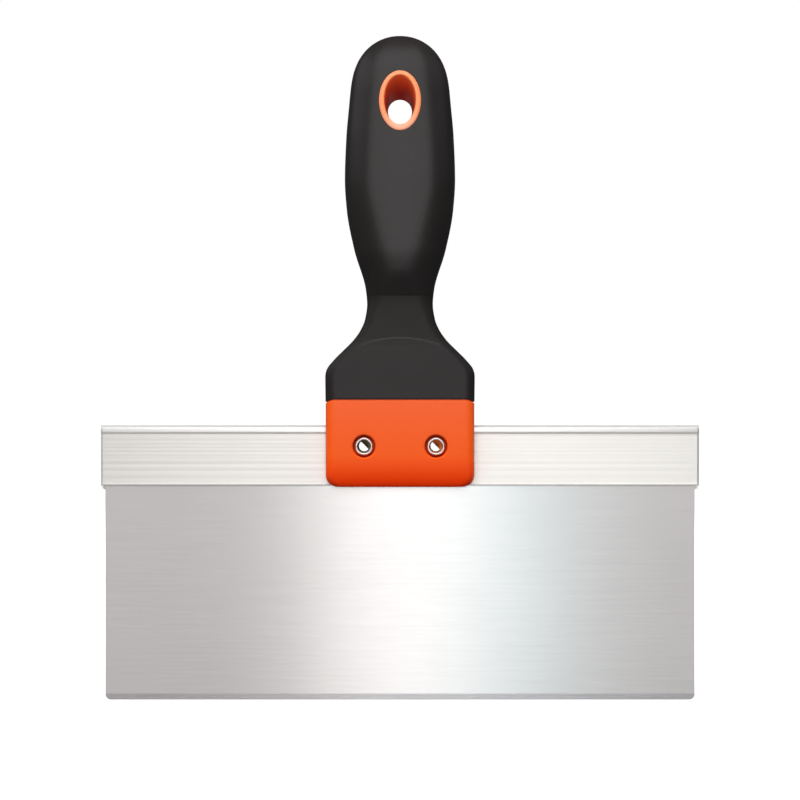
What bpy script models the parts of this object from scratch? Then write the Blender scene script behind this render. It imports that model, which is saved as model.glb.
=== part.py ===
"""Flexible putty knife: a wide spring-steel blade, riveted through its rail into a two-part handle.

Frame: the working edge lies on z = 0, the handle points up and the front faces -Y.
The constants are in millimetres and the scene is in metres.
"""

from math import cos, pi, sin, sqrt

import bmesh
import bpy
from mathutils import Matrix

MM = 0.001
CLEARANCE = 0.3  # between neighbouring pieces
CUT_REACH = 40.0  # cutters run this far, well past what they cut
WELD = 0.001

# Blade: one steel sheet, with a bevel ground on the front of its working edge
BLADE_HALF_WIDTH = 109.5
BLADE_TOP = 99.4
BLADE_HALF_THICKNESS = 0.25
BLADE_CORNER = 1.9
BLADE_CORNER_POINTS = 6
BEVEL_HEIGHT = 2.2
BEVEL_DEPTH = 0.3
FREE_BLADE_TOP = 77.8  # the faces below this height are clear of the rail
HIDDEN_SIDE_STEP = 0.3  # the part that slides into the rail is this much narrower on each side
FLEX_AXIS = 79.0  # height at which the free part bends

# Backer rail: a channel with a bead along its closed top
RAIL_HALF_LENGTH = 111.0
RAIL_TOP = 101.9
RAIL_HALF_DEPTH = 1.75
BEAD_HALF_DEPTH = 2.1
BEAD_SPRING = 100.4  # where the rounded top of the bead starts
GROOVE_TOP = 99.8
GROOVE_BOTTOM = 98.6
GROOVE_HALF_DEPTH = 1.5
FRONT_LIP = 79.6
REAR_LIP = 78.1
LIP_CHAMFER = 0.3
SLOT_HALF_DEPTH = BLADE_HALF_THICKNESS + CLEARANCE
SLOT_TOP = BLADE_TOP + CLEARANCE

# Rivets: open tubes with both ends rolled outwards
RIVET_X = 13.3
RIVET_Z = 94.2
RIVET_BORE = 2.3
RIVET_SHANK = 2.65
RIVET_FLANGE = 3.35
RIVET_HALF_LENGTH = 7.9
FLANGE_SEAT = 7.1  # distance of each flange's underside from the middle
LIP_HEIGHT = 0.45  # of the rolled edge
LIP_STEPS = 6
LIP_TUCK = 0.1  # the rolled edge is this much narrower where it meets the plastic
RIVET_HOLE = RIVET_SHANK + CLEARANCE
COUNTERBORE = 4.3
COUNTERBORE_FLOOR = FLANGE_SEAT - CLEARANCE

# Clip: the orange foot of the handle that straddles the rail
CLIP_BOTTOM = 79.1
CLIP_TOP = 111.3
CLIP_HALF_WIDTH = 27.5
CLIP_HALF_DEPTH = 8.0
CLIP_TOE_HALF_DEPTH = 4.6  # at the bottom, where both faces have rolled in towards the rail
CLIP_ROLL = 11.5  # height of that roll
CLIP_FOOT_RADIUS = 4.4
CLIP_SHOULDER_RADIUS = 0.7
CLIP_EDGE_RADIUS = 3.5
CLIP_FOOT_STEPS = 5
CLIP_ROLL_HEIGHTS = (85.5, 88.0)  # rings between the foot and the end of the roll

# Handle above the clip: curves through (height, value)
GRIP_BOTTOM = CLIP_TOP + CLEARANCE
CAP_START = 222.9  # the rounded end starts here
HANDLE_TOP = 246.6
HALF_WIDTH = (
    (GRIP_BOTTOM, 27.6),
    (120.2, 27.7),
    (122.5, 27.2),
    (126.2, 24.4),
    (129.9, 20.7),
    (133.6, 17.1),
    (137.4, 14.5),
    (141.1, 13.0),
    (146.7, 12.2),
    (152.2, 12.7),
    (167.1, 17.0),
    (182.0, 19.8),
    (193.1, 20.5),
    (208.0, 20.0),
    (CAP_START, 18.7),
    (HANDLE_TOP, 16.7),
)
HALF_DEPTH = (
    (GRIP_BOTTOM, 8.2),
    (132.0, 8.2),
    (139.0, 7.2),
    (147.0, 6.8),
    (150.0, 6.8),
    (151.0, 7.2),
    (160.0, 11.7),
    (168.0, 13.1),
    (190.0, 13.6),
    (CAP_START, 11.9),
    (HANDLE_TOP, 9.0),
)
CORNER_WIDTH = (
    (GRIP_BOTTOM, 4.0),
    (150.0, 3.8),
    (160.0, 11.0),
    (174.5, 9.8),
    (193.1, 8.5),
    (HANDLE_TOP, 9.0),
)
CORNER_DEPTH = (
    (GRIP_BOTTOM, 4.6),
    (150.0, 4.5),
    (160.0, 10.6),
    (190.0, 13.3),
    (CAP_START, 11.7),
    (HANDLE_TOP, 8.8),
)
CROWN = (  # share of the depth lost at the sides
    (GRIP_BOTTOM, 0.0),
    (131.0, 0.0),
    (165.0, 0.07),
    (HANDLE_TOP, 0.07),
)
HANDLE_HEIGHTS = (
    GRIP_BOTTOM, 118.0, 120.2, 121.7, 123.4, 126.2, 129.9, 133.6, 137.4, 141.1, 145.5, 150.0, 151.0,
    154.0, 157.0, 160.0, 163.5, 168.0, 174.5, 182.0, 193.1, 208.0, CAP_START,
)
CAP_RINGS = 6
TANG_INSET = 3.1  # from the grip's skin to the orange core
CAVITY_INSET = 2.7
LEAST_CORNER = 1.2

# Hanging hole: an oval mouth at the front that narrows to a round one at the back
HOLE_FRONT = (221.8, 5.85, 9.2)  # centre height, half width, half height
HOLE_BACK = (219.6, 4.5, 4.5)
BOSS_FRONT = (221.5, 7.7, 11.1)
BOSS_BACK = (219.6, 6.6, 6.6)
HOLE_HALF_SPAN = 12.0  # the four ovals above lie this far in front of and behind the middle
HOLE_OVERRUN = 1.35  # the bars run on to this many half spans
HOLE_SIDES = 32

# Section points per quarter turn
FLAT_STEPS = 3
ARC_STEPS = 6
BEAD_STEPS = 8
ROUND_SIDES = 32

# How a flat outline is turned: its thickness lies along Y, or along X
FRONT = (pi / 2, 0.0, 0.0)
SIDE = (pi / 2, 0.0, pi / 2)

COLOURS = {
    "blade": ((0.55, 0.55, 0.54, 1.0), 1.0, 0.35),
    "backer_rail": ((0.80, 0.79, 0.76, 1.0), 1.0, 0.40),
    "handle_core": ((0.90, 0.13, 0.03, 1.0), 0.0, 0.45),
    "grip": ((0.05, 0.05, 0.05, 1.0), 0.0, 0.60),
    "rivet_left": ((0.80, 0.80, 0.80, 1.0), 1.0, 0.20),
    "rivet_right": ((0.80, 0.80, 0.80, 1.0), 1.0, 0.20),
}


def clear_scene():
    for thing in list(bpy.data.objects):
        bpy.data.objects.remove(thing, do_unlink=True)
    for group in list(bpy.data.collections):
        bpy.data.collections.remove(group)


def make_collection(name):
    group = bpy.data.collections.new(name)
    bpy.context.scene.collection.children.link(group)
    return group


def link_object(name, mesh, group):
    thing = bpy.data.objects.new(name, mesh)
    group.objects.link(thing)
    return thing


def mesh_from(work, name):
    """A mesh from a bmesh, with every face turned outwards."""
    bmesh.ops.recalc_face_normals(work, faces=work.faces)
    mesh = bpy.data.meshes.new(name)
    work.to_mesh(mesh)
    work.free()
    return mesh


def loft(name, rings, group):
    """A closed body through rings of equal length. An end is flat, or closed by a ring of one point."""
    work = bmesh.new()
    levels = [[work.verts.new([value * MM for value in point]) for point in ring] for ring in rings]
    for low, high in zip(levels, levels[1:]):
        for step in range(len(low)):
            after = (step + 1) % len(low)
            if len(high) == 1:
                work.faces.new((low[step], low[after], high[0]))
            else:
                work.faces.new((low[step], low[after], high[after], high[step]))
    for end in (levels[0], levels[-1]):
        if len(end) > 1:
            work.faces.new(end)
    return link_object(name, mesh_from(work, name), group)


def extruded(name, outline, facing, half_length, group):
    """A flat outline with the same thickness to both sides.

    Its points are (x, z) for FRONT and (y, z) for SIDE.
    """
    curve = bpy.data.curves.new(name, "CURVE")
    curve.dimensions = "2D"
    curve.fill_mode = "BOTH"
    curve.extrude = half_length * MM
    spline = curve.splines.new("POLY")
    spline.points.add(len(outline) - 1)
    spline.use_cyclic_u = True
    for point, (across, up) in zip(spline.points, outline):
        point.co = (across * MM, up * MM, 0.0, 1.0)
    guide = link_object(name + "_outline", curve, group)
    guide.rotation_euler = facing
    bpy.context.view_layer.update()
    flat = bpy.data.meshes.new_from_object(guide.evaluated_get(bpy.context.evaluated_depsgraph_get()))
    work = bmesh.new()
    work.from_mesh(flat)
    bmesh.ops.remove_doubles(work, verts=work.verts, dist=WELD * MM)
    thing = link_object(name, mesh_from(work, name), group)
    thing.matrix_world = guide.matrix_world
    bpy.data.objects.remove(guide)
    bpy.data.meshes.remove(flat)
    return thing


def cylinder_y(name, x, z, radius, low, high, group):
    """A cylinder along Y between two depths."""
    work = bmesh.new()
    bmesh.ops.create_cone(
        work,
        cap_ends=True,
        segments=ROUND_SIDES,
        radius1=radius * MM,
        radius2=radius * MM,
        depth=(high - low) * MM,
    )
    thing = link_object(name, mesh_from(work, name), group)
    thing.rotation_euler = FRONT
    thing.location = (x * MM, (low + high) / 2 * MM, z * MM)
    return thing


def combine(target, cutter, operation):
    """Apply one exact Boolean and keep its result as the target's mesh."""
    modifier = target.modifiers.new(cutter.name, "BOOLEAN")
    modifier.operation = operation
    modifier.solver = "EXACT"
    modifier.object = cutter
    bpy.context.view_layer.update()
    result = bpy.data.meshes.new_from_object(target.evaluated_get(bpy.context.evaluated_depsgraph_get()))
    target.modifiers.clear()
    old = target.data
    target.data = result
    result.name = target.name
    bpy.data.meshes.remove(old)


def curve_value(points, height):
    """A smooth curve through the points that never overshoots them."""
    heights = [point[0] for point in points]
    values = [point[1] for point in points]
    slopes = [
        (values[index + 1] - values[index]) / (heights[index + 1] - heights[index])
        for index in range(len(points) - 1)
    ]
    tangents = [slopes[0]]
    for before, after in zip(slopes, slopes[1:]):
        tangents.append(0.0 if before * after <= 0.0 else 2.0 * before * after / (before + after))
    tangents.append(slopes[-1])
    height = min(max(height, heights[0]), heights[-1])
    index = max(i for i in range(len(slopes)) if heights[i] <= height)
    span = heights[index + 1] - heights[index]
    t = (height - heights[index]) / span
    return (
        values[index] * (1 + 2 * t) * (1 - t) ** 2
        + values[index + 1] * t * t * (3 - 2 * t)
        + span * tangents[index] * t * (1 - t) ** 2
        - span * tangents[index + 1] * t * t * (1 - t)
    )


def section(height, half_width, half_depth, corner_width, corner_depth, crown):
    """A ring with a nearly flat front and back and elliptical corners."""
    corner_width = min(corner_width, half_width)
    corner_depth = min(corner_depth, half_depth)
    flat = half_width - corner_width
    quarter = [(flat * step / FLAT_STEPS, half_depth) for step in range(FLAT_STEPS)]
    for step in range(ARC_STEPS + 1):
        angle = pi / 2 * (1 - step / ARC_STEPS)
        quarter.append((
            flat + corner_width * cos(angle),
            half_depth - corner_depth + corner_depth * sin(angle),
        ))
    quarter.append((half_width, 0.0))
    quarter = [(x, y * (1 - crown * (x / half_width) ** 2)) for x, y in quarter]
    right = quarter + [(x, -y) for x, y in quarter[-2::-1]]
    left = [(-x, y) for x, y in right[-2:0:-1]]
    return [(x, y, height) for x, y in right + left]


def handle_ring(height, inset):
    """The handle's section at a height, drawn in by the inset."""
    cap = min(max((height - CAP_START) / (HANDLE_TOP - inset - CAP_START), 0.0), 1.0)
    shrink = sqrt(1 - cap**3)
    return section(
        height,
        (curve_value(HALF_WIDTH, height) - inset) * shrink,
        (curve_value(HALF_DEPTH, height) - inset) * shrink,
        max(curve_value(CORNER_WIDTH, height) - inset, LEAST_CORNER) * shrink,
        max(curve_value(CORNER_DEPTH, height) - inset, LEAST_CORNER) * shrink,
        curve_value(CROWN, height),
    )


def handle_rings(inset, bottom):
    """Rings from the bottom to the pole of the rounded end."""
    rings = [handle_ring(height, inset) for height in (bottom,) + HANDLE_HEIGHTS[1:]]
    top = HANDLE_TOP - inset
    for step in range(1, CAP_RINGS):
        cap = 1 - (1 - step / CAP_RINGS) ** 2
        rings.append(handle_ring(CAP_START + cap * (top - CAP_START), inset))
    rings.append([(0.0, 0.0, top)])
    return rings


def clip_ring(height):
    """The clip's section: its foot corners are round and both faces roll in at the bottom."""
    foot = max(CLIP_BOTTOM + CLIP_FOOT_RADIUS - height, 0.0)
    shoulder = max(height - CLIP_TOP + CLIP_SHOULDER_RADIUS, 0.0)
    roll = max(CLIP_BOTTOM + CLIP_ROLL - height, 0.0) / CLIP_ROLL
    drawn_in = (
        CLIP_FOOT_RADIUS - sqrt(max(CLIP_FOOT_RADIUS**2 - foot**2, 0.0))
        + CLIP_SHOULDER_RADIUS - sqrt(max(CLIP_SHOULDER_RADIUS**2 - shoulder**2, 0.0))
    )
    shallow = (CLIP_HALF_DEPTH - CLIP_TOE_HALF_DEPTH) * (1 - sqrt(max(1 - roll**2, 0.0)))
    half_depth = CLIP_HALF_DEPTH - shallow - min(drawn_in, CLIP_SHOULDER_RADIUS) * (shoulder > 0)
    return section(height, CLIP_HALF_WIDTH - drawn_in, half_depth, CLIP_EDGE_RADIUS, CLIP_EDGE_RADIUS, 0.0)


def clip_rings():
    turns = [pi / 2 * step / CLIP_FOOT_STEPS for step in range(CLIP_FOOT_STEPS + 1)]
    heights = [CLIP_BOTTOM + CLIP_FOOT_RADIUS * (1 - cos(turn)) for turn in turns]
    heights += CLIP_ROLL_HEIGHTS
    heights += [CLIP_BOTTOM + CLIP_ROLL, CLIP_TOP - CLIP_SHOULDER_RADIUS]
    heights += [CLIP_TOP - CLIP_SHOULDER_RADIUS * (1 - sin(pi / 2 * step / 3)) for step in (1, 2, 3)]
    return [clip_ring(height) for height in heights]


def oval_tube(name, front, back, grow, group):
    """A solid oval bar from front to back that runs past both of its stated ends."""
    rings = []
    for reach in (-HOLE_OVERRUN, HOLE_OVERRUN):
        share = (reach + 1) / 2
        centre, wide, tall = (front[i] + (back[i] - front[i]) * share for i in range(3))
        rings.append([
            (
                (wide + grow) * cos(2 * pi * step / HOLE_SIDES),
                reach * HOLE_HALF_SPAN,
                centre + (tall + grow) * sin(2 * pi * step / HOLE_SIDES),
            )
            for step in range(HOLE_SIDES)
        ])
    return loft(name, rings, group)


def build_blade(parts, cutters):
    half, corner = BLADE_HALF_WIDTH, BLADE_CORNER
    hidden_half = half - HIDDEN_SIDE_STEP
    outline = [(-hidden_half, BLADE_TOP), (-hidden_half, FREE_BLADE_TOP), (-half, FREE_BLADE_TOP)]
    for side, turn in ((-1, pi), (1, 1.5 * pi)):
        for step in range(BLADE_CORNER_POINTS):
            angle = turn + pi / 2 * step / (BLADE_CORNER_POINTS - 1)
            outline.append((side * (half - corner) + corner * cos(angle), corner + corner * sin(angle)))
    outline += [(half, FREE_BLADE_TOP), (hidden_half, FREE_BLADE_TOP), (hidden_half, BLADE_TOP)]
    blade = extruded("blade", outline, FRONT, BLADE_HALF_THICKNESS, parts)
    front = -BLADE_HALF_THICKNESS
    edge = front + BEVEL_DEPTH
    wedge = (
        (front, BEVEL_HEIGHT),
        (edge, 0.0),
        (edge, -CUT_REACH),
        (-CUT_REACH, -CUT_REACH),
        (-CUT_REACH, BEVEL_HEIGHT),
    )
    combine(blade, extruded("blade_bevel_cutter", wedge, SIDE, 2 * half, cutters), "DIFFERENCE")
    cut_rivet_holes(blade, cutters)
    split_across(blade, FREE_BLADE_TOP)
    set_origin(blade, (0.0, 0.0, FLEX_AXIS))
    return blade


def split_across(thing, height):
    """Give a sheet an edge across it, so that no face lies on both sides of the height."""
    work = bmesh.new()
    work.from_mesh(thing.data)
    work.transform(thing.matrix_world)
    everything = list(work.verts) + list(work.edges) + list(work.faces)
    level = (0, 0, height * MM)
    bmesh.ops.bisect_plane(work, geom=everything, dist=1e-7, plane_co=level, plane_no=(0, 0, 1))
    work.transform(thing.matrix_world.inverted())
    work.to_mesh(thing.data)
    work.free()


def set_origin(thing, place):
    """Move an object's origin in millimetres and leave its shape where it is."""
    origin = Matrix.Translation([value * MM for value in place])
    thing.data.transform(origin.inverted() @ thing.matrix_world)
    thing.matrix_world = origin


def cut_rivet_holes(thing, cutters):
    for side in (-1, 1):
        hole = cylinder_y(
            thing.name + "_hole_cutter", side * RIVET_X, RIVET_Z, RIVET_HOLE, -CUT_REACH, CUT_REACH, cutters
        )
        combine(thing, hole, "DIFFERENCE")


def build_rail(parts, cutters):
    bead = []
    for step in range(BEAD_STEPS + 1):
        angle = pi * step / BEAD_STEPS
        bead.append((BEAD_HALF_DEPTH * cos(angle), BEAD_SPRING + (RAIL_TOP - BEAD_SPRING) * sin(angle)))
    groove = (
        (BEAD_HALF_DEPTH, GROOVE_TOP),
        (GROOVE_HALF_DEPTH, GROOVE_TOP - 0.5),
        (GROOVE_HALF_DEPTH, GROOVE_BOTTOM + 0.3),
        (RAIL_HALF_DEPTH, GROOVE_BOTTOM),
    )
    chamfered = RAIL_HALF_DEPTH - LIP_CHAMFER
    outline = bead
    outline += [(-depth, height) for depth, height in groove]
    outline += [(-RAIL_HALF_DEPTH, FRONT_LIP + LIP_CHAMFER), (-chamfered, FRONT_LIP)]
    outline += [(-SLOT_HALF_DEPTH, FRONT_LIP), (-SLOT_HALF_DEPTH, SLOT_TOP)]
    outline += [(SLOT_HALF_DEPTH, SLOT_TOP), (SLOT_HALF_DEPTH, REAR_LIP)]
    outline += [(chamfered, REAR_LIP), (RAIL_HALF_DEPTH, REAR_LIP + LIP_CHAMFER)]
    outline += list(reversed(groove))
    rail = extruded("backer_rail", outline, SIDE, RAIL_HALF_LENGTH, parts)
    cut_rivet_holes(rail, cutters)
    return rail


def build_core(parts, cutters):
    """Clip, tang and eyelet in one orange moulding."""
    tang = handle_rings(TANG_INSET, CLIP_TOP)
    core = loft("handle_core", clip_rings() + tang, parts)
    boss = oval_tube("boss_bar", BOSS_FRONT, BOSS_BACK, 0.0, cutters)
    combine(boss, loft("boss_trim", handle_rings(0.0, GRIP_BOTTOM), cutters), "INTERSECT")
    combine(core, boss, "UNION")
    combine(core, oval_tube("hole_cutter", HOLE_FRONT, HOLE_BACK, 0.0, cutters), "DIFFERENCE")
    slot_half = BEAD_HALF_DEPTH + CLEARANCE
    slot_top = RAIL_TOP + CLEARANCE
    slot = ((-slot_half, 0.0), (slot_half, 0.0), (slot_half, slot_top), (-slot_half, slot_top))
    combine(core, extruded("slot_cutter", slot, SIDE, CUT_REACH, cutters), "DIFFERENCE")
    cut_rivet_holes(core, cutters)
    for x in (-RIVET_X, RIVET_X):
        for low, high in ((-CUT_REACH, -COUNTERBORE_FLOOR), (COUNTERBORE_FLOOR, CUT_REACH)):
            sunk = cylinder_y("counterbore_cutter", x, RIVET_Z, COUNTERBORE, low, high, cutters)
            combine(core, sunk, "DIFFERENCE")
    return core


def build_grip(parts, cutters):
    """The soft black shell moulded over the tang."""
    grip = loft("grip", handle_rings(0.0, GRIP_BOTTOM), parts)
    cavity = handle_rings(CAVITY_INSET, GRIP_BOTTOM)
    cavity.insert(0, [(x, y, CLIP_BOTTOM) for x, y, _ in cavity[0]])
    combine(grip, loft("cavity_cutter", cavity, cutters), "DIFFERENCE")
    combine(grip, oval_tube("eyelet_cutter", BOSS_FRONT, BOSS_BACK, CLEARANCE, cutters), "DIFFERENCE")
    return grip


def build_rivet(name, x, parts):
    """A tube turned from one closed outline of (radius, distance from the middle)."""
    rolled = []
    lip_middle = (RIVET_BORE + RIVET_FLANGE) / 2
    lip_half = (RIVET_FLANGE - RIVET_BORE) / 2
    for step in range(LIP_STEPS + 1):
        angle = pi * step / LIP_STEPS
        reach = RIVET_HALF_LENGTH - LIP_HEIGHT * (1 - sin(angle))
        rolled.append((lip_middle - lip_half * cos(angle), reach))
    rolled += [(RIVET_FLANGE - LIP_TUCK, FLANGE_SEAT), (RIVET_SHANK, FLANGE_SEAT)]
    outline = rolled + [(radius, -reach) for radius, reach in reversed(rolled)]
    work = bmesh.new()
    corners = [work.verts.new((radius * MM, 0.0, reach * MM)) for radius, reach in outline]
    for here, after in zip(corners, corners[1:] + corners[:1]):
        work.edges.new((here, after))
    rivet = link_object(name, mesh_from(work, name), parts)
    turn = rivet.modifiers.new("turned", "SCREW")
    turn.steps = ROUND_SIDES
    turn.render_steps = ROUND_SIDES
    turn.use_merge_vertices = True
    turn.merge_threshold = WELD * MM
    turn.use_smooth_shade = False
    rivet.rotation_euler = FRONT
    rivet.location = (x * MM, 0.0, RIVET_Z * MM)
    return rivet


def finish(thing):
    """One material for each piece, smooth where it is round and sharp at its edges."""
    colour, metallic, roughness = COLOURS[thing.name]
    material = bpy.data.materials.new(thing.name)
    material.use_nodes = True
    shader = material.node_tree.nodes["Principled BSDF"]
    shader.inputs["Base Color"].default_value = colour
    shader.inputs["Metallic"].default_value = metallic
    shader.inputs["Roughness"].default_value = roughness
    thing.data.materials.clear()
    thing.data.materials.append(material)
    thing.data.shade_smooth()
    thing.data.set_sharp_from_angle(angle=pi / 5)


def hide_cutters(cutters):
    for cutter in cutters.objects:
        cutter.hide_render = True
        cutter.display_type = "WIRE"


def main():
    clear_scene()
    parts = make_collection("putty_knife")
    cutters = make_collection("cutters")
    pieces = [
        build_blade(parts, cutters),
        build_rail(parts, cutters),
        build_core(parts, cutters),
        build_grip(parts, cutters),
        build_rivet("rivet_left", -RIVET_X, parts),
        build_rivet("rivet_right", RIVET_X, parts),
    ]
    for piece in pieces:
        finish(piece)
    hide_cutters(cutters)


main()
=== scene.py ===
"""The looks of the flexible putty knife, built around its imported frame.

The front faces -Y and the handle points up. Shapes are in millimetres, and everything placed in the
scene, such as lights and the camera, is in metres.
"""

from math import cos, exp, pi, radians, sin, sqrt

import bmesh
import bpy
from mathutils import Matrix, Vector


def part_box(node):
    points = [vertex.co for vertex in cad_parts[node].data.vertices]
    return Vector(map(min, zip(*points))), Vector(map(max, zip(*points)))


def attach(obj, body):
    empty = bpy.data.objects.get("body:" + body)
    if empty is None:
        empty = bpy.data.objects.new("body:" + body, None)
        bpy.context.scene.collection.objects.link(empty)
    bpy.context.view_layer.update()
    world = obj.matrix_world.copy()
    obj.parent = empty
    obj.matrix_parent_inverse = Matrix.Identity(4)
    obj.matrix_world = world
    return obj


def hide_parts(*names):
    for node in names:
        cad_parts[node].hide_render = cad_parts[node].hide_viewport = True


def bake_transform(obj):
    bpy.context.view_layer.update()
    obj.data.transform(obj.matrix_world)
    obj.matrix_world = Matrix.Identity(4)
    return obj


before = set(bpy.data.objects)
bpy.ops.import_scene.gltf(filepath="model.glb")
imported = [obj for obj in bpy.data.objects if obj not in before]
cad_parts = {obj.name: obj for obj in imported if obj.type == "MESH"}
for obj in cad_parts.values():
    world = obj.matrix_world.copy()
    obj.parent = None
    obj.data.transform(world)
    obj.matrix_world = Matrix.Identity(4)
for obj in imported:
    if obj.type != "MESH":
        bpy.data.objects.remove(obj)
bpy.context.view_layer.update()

MM = 0.001


def node_box(node):
    """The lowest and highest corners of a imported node, in millimetres."""
    low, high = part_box(node)
    return low / MM, high / MM


blade_low, blade_high = node_box("blade")
rail_low, rail_high = node_box("backer_rail")
core_low, core_high = node_box("handle_core")
grip_low, grip_high = node_box("grip")
rivet_low, rivet_high = node_box("rivet_right")

# Blade
BLADE_HALF_WIDTH = blade_high.x
BLADE_TOP = blade_high.z
BLADE_HALF_THICKNESS = blade_high.y
BLADE_CORNER = 1.9
BEVEL_HEIGHT = 2.2
BEVEL_DEPTH = 0.3
BEND_START = 79.0
BEND_STRIP = 1.5

# Rail
RAIL_HALF_LENGTH = rail_high.x
RAIL_TOP = rail_high.z
BEAD_HALF_DEPTH = rail_high.y
BEAD_SPRING = RAIL_TOP - 1.5
FLANGE_HALF_DEPTH = 1.75
SLOT_HALF_DEPTH = BLADE_HALF_THICKNESS + 0.3
SLOT_TOP = BLADE_TOP + 0.3
REAR_LIP = rail_low.z
FRONT_LIP = REAR_LIP + 1.5
RAIL_END = 0.62
RAIL_GROOVES = (96.2, 94.6, 93.4, 92.0, 90.5, 89.6, 87.5, 85.05, 82.3)
GROOVE_HALF_WIDTH = 0.35
GROOVE_DEPTH = 0.035
BEAD_BOTTOM = 99.5
LIP_MIDDLE = 0.55
LIP_HALF_HEIGHT = 0.42
LIP_RISE = 0.13

# Rivets
RIVET_X = (rivet_low.x + rivet_high.x) / 2
RIVET_Z = (rivet_low.z + rivet_high.z) / 2
RIVET_FLANGE = (rivet_high.x - rivet_low.x) / 2
RIVET_HALF_LENGTH = rivet_high.y
RIVET_BORE = 2.3
RIVET_SHANK = 2.65
FLANGE_SEAT = 7.1
RIVET_HOLE = 2.95
COUNTERBORE = 4.15
COUNTERBORE_FLOOR = 5.2
COUNTERBORE_FLARE = 0.55
RIVET_LIP_HEIGHT = 0.5
RIVET_SIDES = 96

# Clip
CLIP_BOTTOM = core_low.z
CLIP_HALF_WIDTH = core_high.x
CLIP_TOP = grip_low.z - 0.3
SEAM_FLOOR = grip_low.z - 0.05
CLIP_HALF_DEPTH = 8.0
CLIP_TOE_HALF_DEPTH = 4.6
CLIP_ROLL = 11.5
CLIP_FOOT_RADIUS = 4.4
CLIP_SHOULDER_RADIUS = 0.45
CLIP_EDGE_RADIUS = 3.5

# Handle above the clip: curves through (height, value)
GRIP_BOTTOM = grip_low.z
HANDLE_TOP = grip_high.z
CAP_START = 222.9
HALF_WIDTH = (
    (GRIP_BOTTOM, 27.6),
    (120.2, 27.7),
    (122.5, 27.2),
    (126.2, 24.4),
    (129.9, 20.7),
    (133.6, 17.1),
    (137.4, 14.5),
    (141.1, 13.0),
    (146.7, 12.2),
    (152.2, 12.7),
    (167.1, 17.0),
    (182.0, 19.8),
    (193.1, 20.5),
    (208.0, 20.0),
    (CAP_START, 18.7),
    (HANDLE_TOP, 16.7),
)
HALF_DEPTH = (
    (GRIP_BOTTOM, 8.2),
    (132.0, 8.2),
    (139.0, 7.2),
    (146.0, 6.8),
    (149.6, 7.05),
    (150.8, 7.6),
    (160.0, 11.7),
    (168.0, 13.1),
    (190.0, 13.6),
    (CAP_START, 11.9),
    (HANDLE_TOP, 9.0),
)
CORNER_WIDTH = (
    (GRIP_BOTTOM, 4.2),
    (142.0, 4.2),
    (151.0, 8.5),
    (161.0, 13.8),
    (174.5, 13.0),
    (193.1, 10.4),
    (HANDLE_TOP, 10.6),
)
CORNER_DEPTH = (
    (GRIP_BOTTOM, 4.6),
    (142.0, 4.6),
    (151.0, 7.0),
    (160.0, 11.2),
    (190.0, 13.3),
    (CAP_START, 11.7),
    (HANDLE_TOP, 8.8),
)
CROWN = ((GRIP_BOTTOM, 0.0), (131.0, 0.0), (165.0, 0.13), (HANDLE_TOP, 0.10))
TANG_INSET = 3.1
CAVITY_INSET = 2.7
LEAST_CORNER = 1.2
CORNER_POWER = 2.4  # 2 would be an ellipse; more makes the corners start gently
ARCH_TOP = 134.3  # the raised arch over the grip's shoulders
ARCH_BOW = 0.0125
ARCH_STEP = 0.22
ARCH_FADE = 5.0
ARCH_SOFTNESS = 0.7
GRIP_RIM = 0.3
SEAM_DROP = 1.3  # of the seam between clip and grip at the sides
SEAM_DROP_START = 24.2
SEAM_DROP_WIDTH = 4.6
SEAM_DROP_REACH = 4.0

# Hanging hole: ovals as (centre height, half width, half height)
HOLE_FRONT = (221.8, 5.85, 9.2)
HOLE_BACK = (219.6, 4.5, 4.5)
BOSS_FRONT = (221.5, 7.7, 11.1)
BOSS_BACK = (219.6, 6.6, 6.6)
HOLE_HALF_SPAN = 12.0
RIM_RISE = 0.3

# Section points per quarter turn, for the surfaces that show
FLAT_STEPS = 10
ARC_STEPS = 18
SIDE_STEPS = 4

# Tones that change over a piece, with the heights between which they do
# Painted light: the rail's tone goes from darker at its left end to lighter at its right, as the light
# falls.
RAIL_SHADED_LEFT = (0.79, 0.765, 0.74)
RAIL_LIT_RIGHT = (1.0, 0.985, 0.935)
# Painted shade in the crease under the rail's bead, and the heights over which it comes in.
CREASE_SHADE = (0.74, 0.72, 0.69)
CREASE_SHADE_HEIGHTS = (97.5, 99.0)
# Painted shade on the clip's rolled-in foot: its orange deepens from the face down to the foot.
CLIP_FOOT_SHADE = (0.93, 0.038, 0.0005)
CLIP_FACE = (0.855, 0.093, 0.003)
CLIP_SHADE_HEIGHTS = (80.0, 92.0)
CLIP_SHINE = (0.08, 0.46)
CLIP_SHINE_HEIGHTS = (80.0, 110.0)
RUBBER_DARK = (0.0105, 0.0085, 0.0082)
RUBBER_LIGHT = (0.0145, 0.0118, 0.0114)
SHOULDER_SHINE = 0.50
NECK_SHINE = 0.31
NECK_START = (131.0, 134.5)
BELLY_SHINE = 0.64
BELLY_START = (149.4, 150.4)
GRIP_ROUGHNESS = 0.42
NECK_DULLNESS = 0.08

# Room, in metres
MIDDLE = (0.0, 0.0, 0.11)
ROOM_GLOSS = 0.06
ROOM_SOFT = 0.2

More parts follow.
